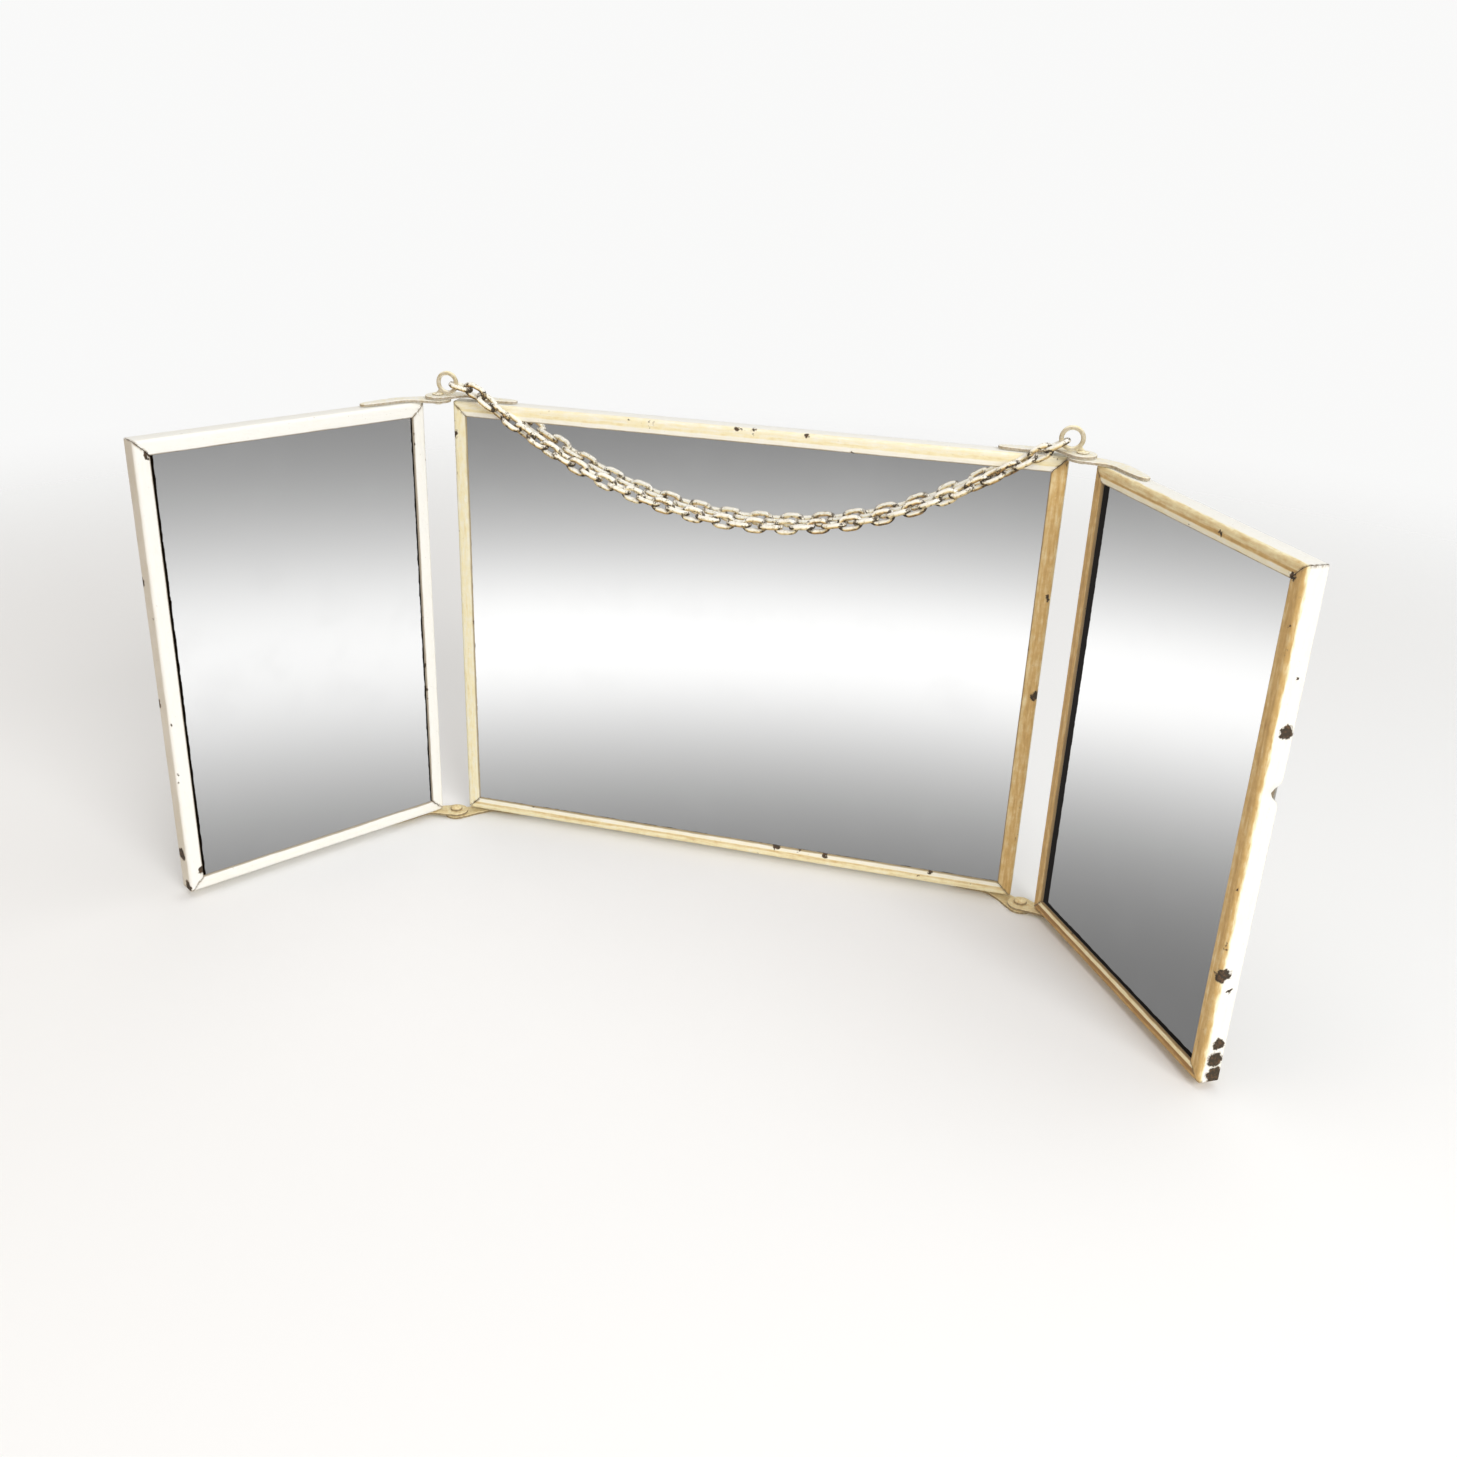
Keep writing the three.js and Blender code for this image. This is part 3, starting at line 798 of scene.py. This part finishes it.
# The pane is shown from the depth where its silvering is seen, to its back.
def addMirrors():
    for panel in panelNames:
        node = panel + "_mirror_glass"
        matrix = panels[panel]["matrix"]
        back = matrix.inverted()
        corners = [back @ v.co for v in frame["nodes"][node].data.vertices]
        low = Vector([min(c[i] for c in corners) for i in range(3)])
        high = Vector([max(c[i] for c in corners) for i in range(3)])
        low.y += (high.y - low.y) * mirrorSize["silverDepth"][panel]
        shape = bmesh.new()
        bmesh.ops.create_cube(shape, size=1)
        for vertex in shape.verts:
            vertex.co = Vector([low[i] + (vertex.co[i] + 0.5) * (high[i] - low[i])
                                for i in range(3)])
        bmesh.ops.bevel(shape, geom=shape.edges[:], offset=mirrorSize["bevel"] * mm, segments=2,
                        profile=0.5, affect="EDGES")
        mesh = bpy.data.meshes.new(node)
        shape.to_mesh(mesh)
        shape.free()
        for name, axis in (("paneAcross", 0), ("paneUp", 2)):
            layer = mesh.attributes.new(name, "FLOAT", "POINT")
            layer.data.foreach_set("value", [v.co[axis] / mm for v in mesh.vertices])
        mesh.transform(matrix)
        pane = addPiece(node + "_silvered", mesh, silveredGlass(panel))
        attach(pane, bodyOf[panel])
        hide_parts(node)
    print("mirrors made")


def dressNode(name, material):
    mesh = frame["nodes"][name].data
    mesh.materials.clear()
    mesh.materials.append(material)


strapSize = {
    "thickness": 1.3,
    "gap": 0.3,
    "discRadius": 5.6,
    "reach": 33.5,
    "leafWidth": 6.2,
    "leafDepth": 5.6,
    "leafStart": 15.0,
    "leafTaper": 3.0,
    "tipShare": 0.3,  # the tip's radius as a share of the leaf's width
    "discLeaveFront": -28,  # degrees round the disc at which the neck leaves it
    "discLeaveBack": 96,
    "neckReach": 5.0,
    "holeRadius": 1.8,
    "liftedLength": 11.0,
    "bendLength": 7.0,
    "edgeRadius": 0.4,
    "standOff": 3.4,
}
strapLift = strapSize["thickness"] + strapSize["gap"]
discReach = strapSize["gap"] + strapLift + strapSize["thickness"]


def bezier(a, b, c, d, steps):
    points = []
    for i in range(1, steps + 1):
        t = i / steps
        s = 1 - t
        weights = (s ** 3, 3 * s * s * t, 3 * s * t * t, t ** 3)
        points.append(tuple(sum(w * p[k] for w, p in zip(weights, (a, b, c, d)))
                            for k in range(2)))
    return points


# The same outline as the frame's strap: a disc round the pin, a neck and a leaf.
def strapOutline():
    size = strapSize
    disc, start, reach = size["discRadius"], size["leafStart"], size["reach"]
    centre = size["standOff"] + size["leafDepth"]
    front, back = centre - size["leafWidth"] / 2, centre + size["leafWidth"] / 2
    frontLeave = math.radians(size["discLeaveFront"])
    backLeave = math.radians(size["discLeaveBack"])
    neck = start - size["neckReach"]
    tip = size["leafWidth"] * size["tipShare"]
    tipX = reach - tip
    taperX = tipX - size["leafTaper"]
    first = (disc * math.cos(frontLeave), disc * math.sin(frontLeave))
    last = (disc * math.cos(backLeave), disc * math.sin(backLeave))

    def soft(a, b, c, steps):  # a quadratic stretch, raised to a cubic one
        near = tuple(a[k] + (b[k] - a[k]) * 2 / 3 for k in range(2))
        far = tuple(c[k] + (b[k] - c[k]) * 2 / 3 for k in range(2))
        return bezier(a, near, far, c, steps)

    return [
        first,
        *bezier(first, (disc + 2, first[1] + 1.8), (neck, front - 0.4), (start, front), 16),
        *soft((start, front), (taperX, front), (tipX, centre - tip), 12),
        *arc((tipX, centre), tip, -90, 90, 12)[1:],
        *soft((tipX, centre + tip), (taperX, back), (start, back), 12),
        *bezier((start, back), (neck, back), (2.5, disc + 1.6), last, 16),
        *arc((0, 0), disc, size["discLeaveBack"], size["discLeaveFront"] + 360, 32)[1:-1],
    ]


def circle(radius, steps):
    return arc((0, 0), radius, 0, 360, steps)[:-1]


# A strap about its pin: side 1 runs to +x, liftSign 1 or -1 bends the pin's end up or down.
def strapMesh(side, liftSign):
    size = strapSize
    curve = bpy.data.curves.new("strap", "CURVE")
    curve.dimensions = "2D"
    curve.fill_mode = "BOTH"
    curve.bevel_depth = size["edgeRadius"]
    curve.bevel_resolution = 3
    curve.offset = -size["edgeRadius"]
    curve.extrude = size["thickness"] / 2 - size["edgeRadius"]
    for points in (strapOutline(), circle(size["holeRadius"], 28)):
        addLine(curve, [(x, y, 0) for x, y in points])
    holder = bpy.data.objects.new("strap", curve)
    bpy.context.scene.collection.objects.link(holder)
    mesh = flatMesh(holder)
    bpy.data.objects.remove(holder)
    shape = bmesh.new()
    shape.from_mesh(mesh)
    bmesh.ops.remove_doubles(shape, verts=shape.verts[:], dist=1e-4)
    bends = 10 if liftSign else 0
    for i in range(bends + 1):
        cut = size["liftedLength"] + size["bendLength"] * i / max(bends, 1)
        everything = shape.verts[:] + shape.edges[:] + shape.faces[:]
        bmesh.ops.bisect_plane(shape, geom=everything, plane_co=(cut, 0, 0),
                               plane_no=(1, 0, 0), dist=1e-4)
    for vertex in shape.verts:
        ramp = (vertex.co.x - size["liftedLength"]) / size["bendLength"]
        ramp = min(max(ramp, 0), 1)
        vertex.co.z += liftSign * strapLift * (1 - ramp * ramp * (3 - 2 * ramp))
        vertex.co.x *= side
    bmesh.ops.recalc_face_normals(shape, faces=shape.faces[:])
    shape.to_mesh(mesh)
    shape.free()
    return mesh


def addStraps(topPaint, bottomPaint):
    thickness, gap = strapSize["thickness"], strapSize["gap"]
    for panel in panelNames:
        matrix = panels[panel]["matrix"]
        height = panels[panel]["height"] / mm
        for wing, pin in pins.items():
            if panel != "centre" and panel != wing:
                continue
            local = matrix.inverted() @ pin
            side = -1 if local.x > 0 else 1
            lifted = panel == "centre"
            for end, seat, sign in (("top", height + gap, 1), ("bottom", -gap - thickness, -1)):
                mesh = strapMesh(side, sign if lifted else 0)
                place = Vector((local.x / mm, local.y / mm, seat + thickness / 2))
                mesh.transform(Matrix.Translation(place))
                mesh.transform(Matrix.Scale(mm, 4))
                mesh.transform(matrix)
                mesh.shade_smooth()
                wingSide = wing.split("_")[0]
                node = f"centre_{end}_{wingSide}_strap" if lifted else f"{panel}_{end}_strap"
                paint = topPaint if end == "top" else bottomPaint
                strap = addPiece(node + "_stamped", mesh, paint)
                shading = strap.modifiers.new("flatTops", "WEIGHTED_NORMAL")
                shading.weight = 90
                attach(strap, bodyOf[panel])
                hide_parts(node)
    print("straps made")


pinSize = {
    "radius": 1.5,
    "headGap": 0.2,
    "headRadius": 2.9,
    "headHeight": 2.0,
    "tailRadius": 2.4,
    "tailHeight": 1.1,
    "collarRadius": 2.6,
    "collarHeight": 0.6,
}
eyeSize = {
    "wire": 1.9,
    "radius": 4.2,
    "lean": 4.7,
    "baseGap": 0.35,
    "voxel": 0.17,  # the grid that the parts of an eye are run together on
}


# Adds a closed turned form about the z axis from (radius, height) pairs; it starts and ends on it.
def addTurned(shape, profile, steps=40):
    rings = []
    for radius, height in profile:
        if radius < 1e-6:
            rings.append([shape.verts.new((0, 0, height))])
        else:
            turns = [2 * math.pi * i / steps for i in range(steps)]
            rings.append([shape.verts.new((radius * math.cos(t), radius * math.sin(t), height))
                          for t in turns])
    for low, high in zip(rings, rings[1:]):
        for i in range(steps):
            j = (i + 1) % steps
            corners = [low[i % len(low)], low[j % len(low)], high[j % len(high)],
                       high[i % len(high)]]
            shape.faces.new(dict.fromkeys(corners))


def dome(radius, height, base, sign, steps=10):
    turns = [math.pi / 2 * i / steps for i in range(steps + 1)]
    return [(max(radius * math.cos(t), 0), base + sign * height * math.sin(t)) for t in turns]


def meshFrom(shape, matrix):
    bmesh.ops.recalc_face_normals(shape, faces=shape.faces[:])
    mesh = bpy.data.meshes.new("turned")
    shape.to_mesh(mesh)
    shape.free()
    mesh.transform(Matrix.Scale(mm, 4))
    mesh.transform(matrix)
    return mesh


def addBottomRivets(material):
    size = pinSize
    foot = frameFoot / mm
    headBase = foot - strapSize["gap"] + size["headGap"]
    for wing, pin in pins.items():
        side = wing.split("_")[0]
        shape = bmesh.new()
        addTurned(shape, [
            (0, size["headGap"]), (size["radius"] - 0.2, size["headGap"]),
            (size["radius"], size["headGap"] + 0.2), (size["radius"], headBase),
            (size["headRadius"] - 0.15, headBase),
            *dome(size["headRadius"], size["headHeight"] - 0.15, headBase + 0.15, 1)[:-1],
            (0, headBase + size["headHeight"]),
        ])
        mesh = meshFrom(shape, Matrix.Translation((pin.x, pin.y, 0)))
        rivet = addPiece(f"{side}_bottom_rivet_domed", mesh, material)
        smoothMesh(mesh, 40)
        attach(rivet, "centre_panel")
        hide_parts(f"{side}_bottom_rivet")
    print("bottom rivets made")


# A pin, its collar, a leaning leg and a ring, run together as thick paint does.
def addEyes(material):
    pinLook, eye = pinSize, eyeSize
    head = frameHead / mm
    tail = head + strapSize["gap"] - pinLook["headGap"]
    collar = head + discReach + pinLook["headGap"]
    wireRadius = eye["wire"] / 2
    ringHeight = head + discReach + eye["baseGap"] + eye["radius"] + wireRadius
    for wing, pin in pins.items():
        side = wing.split("_")[0]
        inward = 1 if pin.x < 0 else -1
        shape = bmesh.new()
        addTurned(shape, [
            *reversed(dome(pinLook["tailRadius"], pinLook["tailHeight"], tail, -1)),
            (pinLook["radius"], tail), (pinLook["radius"], collar),
            (pinLook["collarRadius"], collar),
            (pinLook["collarRadius"] - 0.3, collar + pinLook["collarHeight"]),
            (0, collar + pinLook["collarHeight"]),
        ])
        ringCentre = Vector((inward * eye["lean"], 0, ringHeight))
        addRing(shape, ringCentre, eye["radius"], wireRadius)
        legFoot = Vector((0, 0, collar + pinLook["collarHeight"] / 2))
        legTop = ringCentre + (legFoot - ringCentre).normalized() * eye["radius"]
        addRod(shape, legFoot, legTop, wireRadius)
        lump = addPiece("eyeLump", meshFrom(shape, Matrix.Translation((pin.x, pin.y, 0))))
        remesh = lump.modifiers.new("runTogether", "REMESH")
        remesh.mode, remesh.voxel_size = "VOXEL", eye["voxel"] * mm
        soften = lump.modifiers.new("soften", "SMOOTH")
        soften.factor, soften.iterations = 0.5, 5
        mesh = flatMesh(lump)
        bpy.data.objects.remove(lump)
        mesh.shade_smooth()
        rivet = addPiece(f"{side}_eye_rivet_painted", mesh, material)
        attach(rivet, "centre_panel")
        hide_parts(f"{side}_eye_rivet")
    print("eyes made")


def addRing(shape, centre, radius, wireRadius, steps=40, sides=12):
    rings = []
    for i in range(steps):
        turn = 2 * math.pi * i / steps
        outward = Vector((math.cos(turn), 0, math.sin(turn)))
        ring = []
        for k in range(sides):
            roll = 2 * math.pi * k / sides
            place = centre + outward * (radius + wireRadius * math.cos(roll))
            ring.append(shape.verts.new(place + Vector((0, wireRadius * math.sin(roll), 0))))
        rings.append(ring)
    for i in range(steps):
        for k in range(sides):
            j, m = (i + 1) % steps, (k + 1) % sides
            shape.faces.new((rings[i][k], rings[j][k], rings[j][m], rings[i][m]))


def addRod(shape, start, end, radius, sides=16):
    along = (end - start).normalized()
    turn = along.to_track_quat("Z", "Y")
    rolls = [2 * math.pi * k / sides for k in range(sides)]
    spokes = [turn @ Vector((radius * math.cos(r), radius * math.sin(r), 0)) for r in rolls]
    rings = [[shape.verts.new(centre + spoke) for spoke in spokes] for centre in (start, end)]
    for k in range(sides):
        m = (k + 1) % sides
        shape.faces.new((rings[0][k], rings[0][m], rings[1][m], rings[1][k]))
    shape.faces.new(rings[0])
    shape.faces.new(rings[1])


chainSize = {
    "links": 41,
    "wire": 2.2,
    "width": 6.8,
    "innerLength": 6.9,
    "rollDegrees": -4.0,  # the whole chain lies over by this, back against the mirror
    "jitterDegrees": 6.0,
    "twistDegrees": 40.0,  # turned most in front of the top rail, where a shut wing lies on it
    "lumps": 0.12,
    "seed": 5,
    "ovalSteps": 28,
    "wireSides": 12,
}
# The chain's route from the middle of its first link to the middle of its last, in the plane of
# the pins: x, and z from the tops of the frames.
chainRoute = [
    (-0.1268, 0.0074), (-0.1202, 0.0060), (-0.1140, 0.0016), (-0.1064, -0.0038),
    (-0.0950, -0.0107), (-0.0831, -0.0174), (-0.0710, -0.0234), (-0.0586, -0.0284),
    (-0.0456, -0.0326), (-0.0323, -0.0360), (-0.0186, -0.0384), (-0.0050, -0.0397),
    (0.0086, -0.0399), (0.0222, -0.0391), (0.0358, -0.0372), (0.0493, -0.0343),
    (0.0622, -0.0303), (0.0746, -0.0253), (0.0867, -0.0194), (0.0985, -0.0127),
    (0.1098, -0.0059), (0.1213, 0.0016), (0.1276, 0.0054),
]


# A smooth line through the route's points.
def chainLine(steps=8):
    y = pins["left_wing"].y
    points = [Vector((x, y, frameHead + z)) for x, z in chainRoute]
    ends = [points[0] * 2 - points[1], *points, points[-1] * 2 - points[-2]]
    line = []
    for a, b, c, d in zip(ends, ends[1:], ends[2:], ends[3:]):
        for i in range(steps):
            t = i / steps
            line.append(0.5 * (2 * b + (c - a) * t + (2 * a - 5 * b + 4 * c - d) * t * t
                               + (3 * b - a - 3 * c + d) * t ** 3))
    return [*line, points[-1]]


def chainTree():
    tree, given = geometryTree("chainLinks", [
        ("Route", "Object"), ("Links", "Int"), ("First", "Int"), ("Last", "Int"),
        ("Wire", "Float"), ("Width", "Float"), ("Inner Length", "Float"), ("Roll", "Float"),
        ("Jitter", "Float"), ("Twist", "Float"), ("Lumps", "Float"), ("Seed", "Int"),
        ("Finish", "Material"),
    ])
    start = given["Wire"]
    # one link: a circle pulled apart into an oval, with round wire along it
    bend = (given["Width"] - given["Wire"]) / 2
    straight = (given["Inner Length"] + given["Wire"]) / 2 - bend
    steps = chainSize["ovalSteps"]
    ring = start.node("GeometryNodeCurvePrimitiveCircle", {}, {
        "Resolution": steps, "Radius": bend,
    })
    ring = start.node("GeometryNodeTransform", {}, {
        "Geometry": ring, "Rotation": (0, 0, math.pi / steps),
    })
    where = start.node("GeometryNodeInputPosition")
    across = start.node("ShaderNodeSeparateXYZ", {}, {"Vector": where})
    stretch = (start.math("SIGN", across) + across / bend) * (straight / 2)
    pull = start.node("ShaderNodeCombineXYZ", {}, {"X": stretch})
    oval = start.node("GeometryNodeSetPosition", {}, {"Geometry": ring, "Offset": pull})
    rod = start.node("GeometryNodeCurvePrimitiveCircle", {}, {
        "Resolution": chainSize["wireSides"], "Radius": given["Wire"] / 2,
    })
    link = start.node("GeometryNodeCurveToMesh", {}, {"Curve": oval, "Profile Curve": rod})
    endShare = abs(across) / (straight + bend)
    link = start.node("GeometryNodeStoreNamedAttribute", {
        "data_type": "FLOAT", "domain": "POINT",
    }, {"Geometry": link, "Name": "linkEnd", "Value": endShare.step(0.55, 0.95)})
    # links along the route: every second one is turned a quarter
    route = start.node("GeometryNodeObjectInfo", {}, {"Object": given["Route"]}, "Geometry")
    places = start.node("GeometryNodeResampleCurve", {}, {
        "Curve": route, "Count": given["Links"],
    })
    index = start.node("GeometryNodeInputIndex")
    fromEnd = start.math("MINIMUM", index, given["Links"] - 1 - index)
    settled = fromEnd.step(0.0, 4.0)
    chance = start.node("FunctionNodeRandomValue", {"data_type": "FLOAT"}, {
        2: -1.0, 3: 1.0, "ID": index, "Seed": given["Seed"],
    }, 1)
    quarter = start.math("MODULO", index, 2.0) * (math.pi / 2)
    # the twist grows over three links from each end and is gone by the ninth
    twist = fromEnd.step(0.0, 3.0) * fromEnd.step(9.0, 4.5) * given["Twist"]
    roll = quarter + twist + settled * given["Roll"] + settled * given["Jitter"] * chance
    frontal = start.node("FunctionNodeAxesToRotation", {
        "primary_axis": "X", "secondary_axis": "Y",
    }, {"Primary Axis": start.node("GeometryNodeInputTangent"), "Secondary Axis": (0, 1, 0)})
    spin = start.node("FunctionNodeAxisAngleToRotation", {}, {"Axis": (1, 0, 0), "Angle": roll})
    facing = start.node("FunctionNodeRotateRotation", {"rotation_space": "LOCAL"}, {
        "Rotation": frontal, "Rotate By": spin,
    })
    places = start.node("GeometryNodeStoreNamedAttribute", {
        "data_type": "FLOAT", "domain": "POINT",
    }, {"Geometry": places, "Name": "linkTone", "Value": chance * 0.5 + 0.5})
    afterFirst = start.math("GREATER_THAN", index, given["First"] - 0.5)
    beforeLast = start.math("LESS_THAN", index, given["Last"] + 0.5)
    chain = start.node("GeometryNodeInstanceOnPoints", {}, {
        "Points": places, "Selection": afterFirst * beforeLast, "Instance": link,
        "Rotation": facing,
    })
    loose = start.node("GeometryNodeRealizeInstances", {}, {"Geometry": chain})
    drift = start.node("ShaderNodeTexNoise", {}, {"Vector": where, "Scale": 420.0, "Detail": 1.0},
                       "Color")
    drift = start.vector("SUBTRACT", drift, (0.5, 0.5, 0.5))
    lumps = start.node("ShaderNodeVectorMath", {"operation": "SCALE"}, {
        0: drift, "Scale": given["Lumps"] * 2,
    })
    lumpy = start.node("GeometryNodeSetPosition", {}, {"Geometry": loose, "Offset": lumps})
    treeEnd(lumpy, given["Finish"])
    return tree


def addChain(material):
    line = chainLine()
    curve = bpy.data.curves.new("chainRoute", "CURVE")
    curve.dimensions = "3D"
    addLine(curve, line, closed=False)
    route = bpy.data.objects.new("chainRoute", curve)
    bpy.context.scene.collection.objects.link(route)
    size = chainSize
    last = size["links"] - 1
    tree = chainTree()
    for node, first, final in (
        ("chain", 1, last - 1), ("chain_end_link_left", 0, 0), ("chain_end_link_right", last, last),
    ):
        piece = grow(node + "_links", tree, {
            "Route": route, "Links": size["links"], "First": first, "Last": final,
            "Wire": size["wire"] * mm, "Width": size["width"] * mm,
            "Inner Length": size["innerLength"] * mm, "Roll": math.radians(size["rollDegrees"]),
            "Jitter": math.radians(size["jitterDegrees"]),
            "Twist": math.radians(size["twistDegrees"]), "Lumps": size["lumps"] * mm,
            "Seed": size["seed"], "Finish": material,
        })
        piece.data.shade_smooth()
        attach(piece, "centre_panel")
        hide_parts(node)
    bpy.data.objects.remove(route)
    length = sum((b - a).length for a, b in zip(line, line[1:]))


addCamera()
addStudio()
addChain(chainEnamel())
addFrames({panel: enamel(panel + "Enamel", ragged(panel)) for panel in panelNames})
addMirrors()
topHingePaint = enamel("topHingeEnamel", onRail=False, ageAndShade=0.1)
bottomHingePaint = enamel("bottomHingeEnamel", onRail=False, ageAndShade=0.45, uprightFaceShade=1.0)
addStraps(topHingePaint, bottomHingePaint)
addBottomRivets(bottomHingePaint)
addEyes(enamel("eyeEnamel", onRail=False, ageAndShade=0.22, uprightFaceShade=0.6))
card, tin = pulpCard(), tinPlate()
for panel in panelNames:
    dressNode(panel + "_backing_card", card)
    dressNode(panel + "_back_plate", tin)
# the mirrors show the studio and the chain, not the other frames
for thing in bpy.context.scene.objects:
    if thing.type == "MESH" and "chain" not in thing.name:
        thing.visible_glossy = False
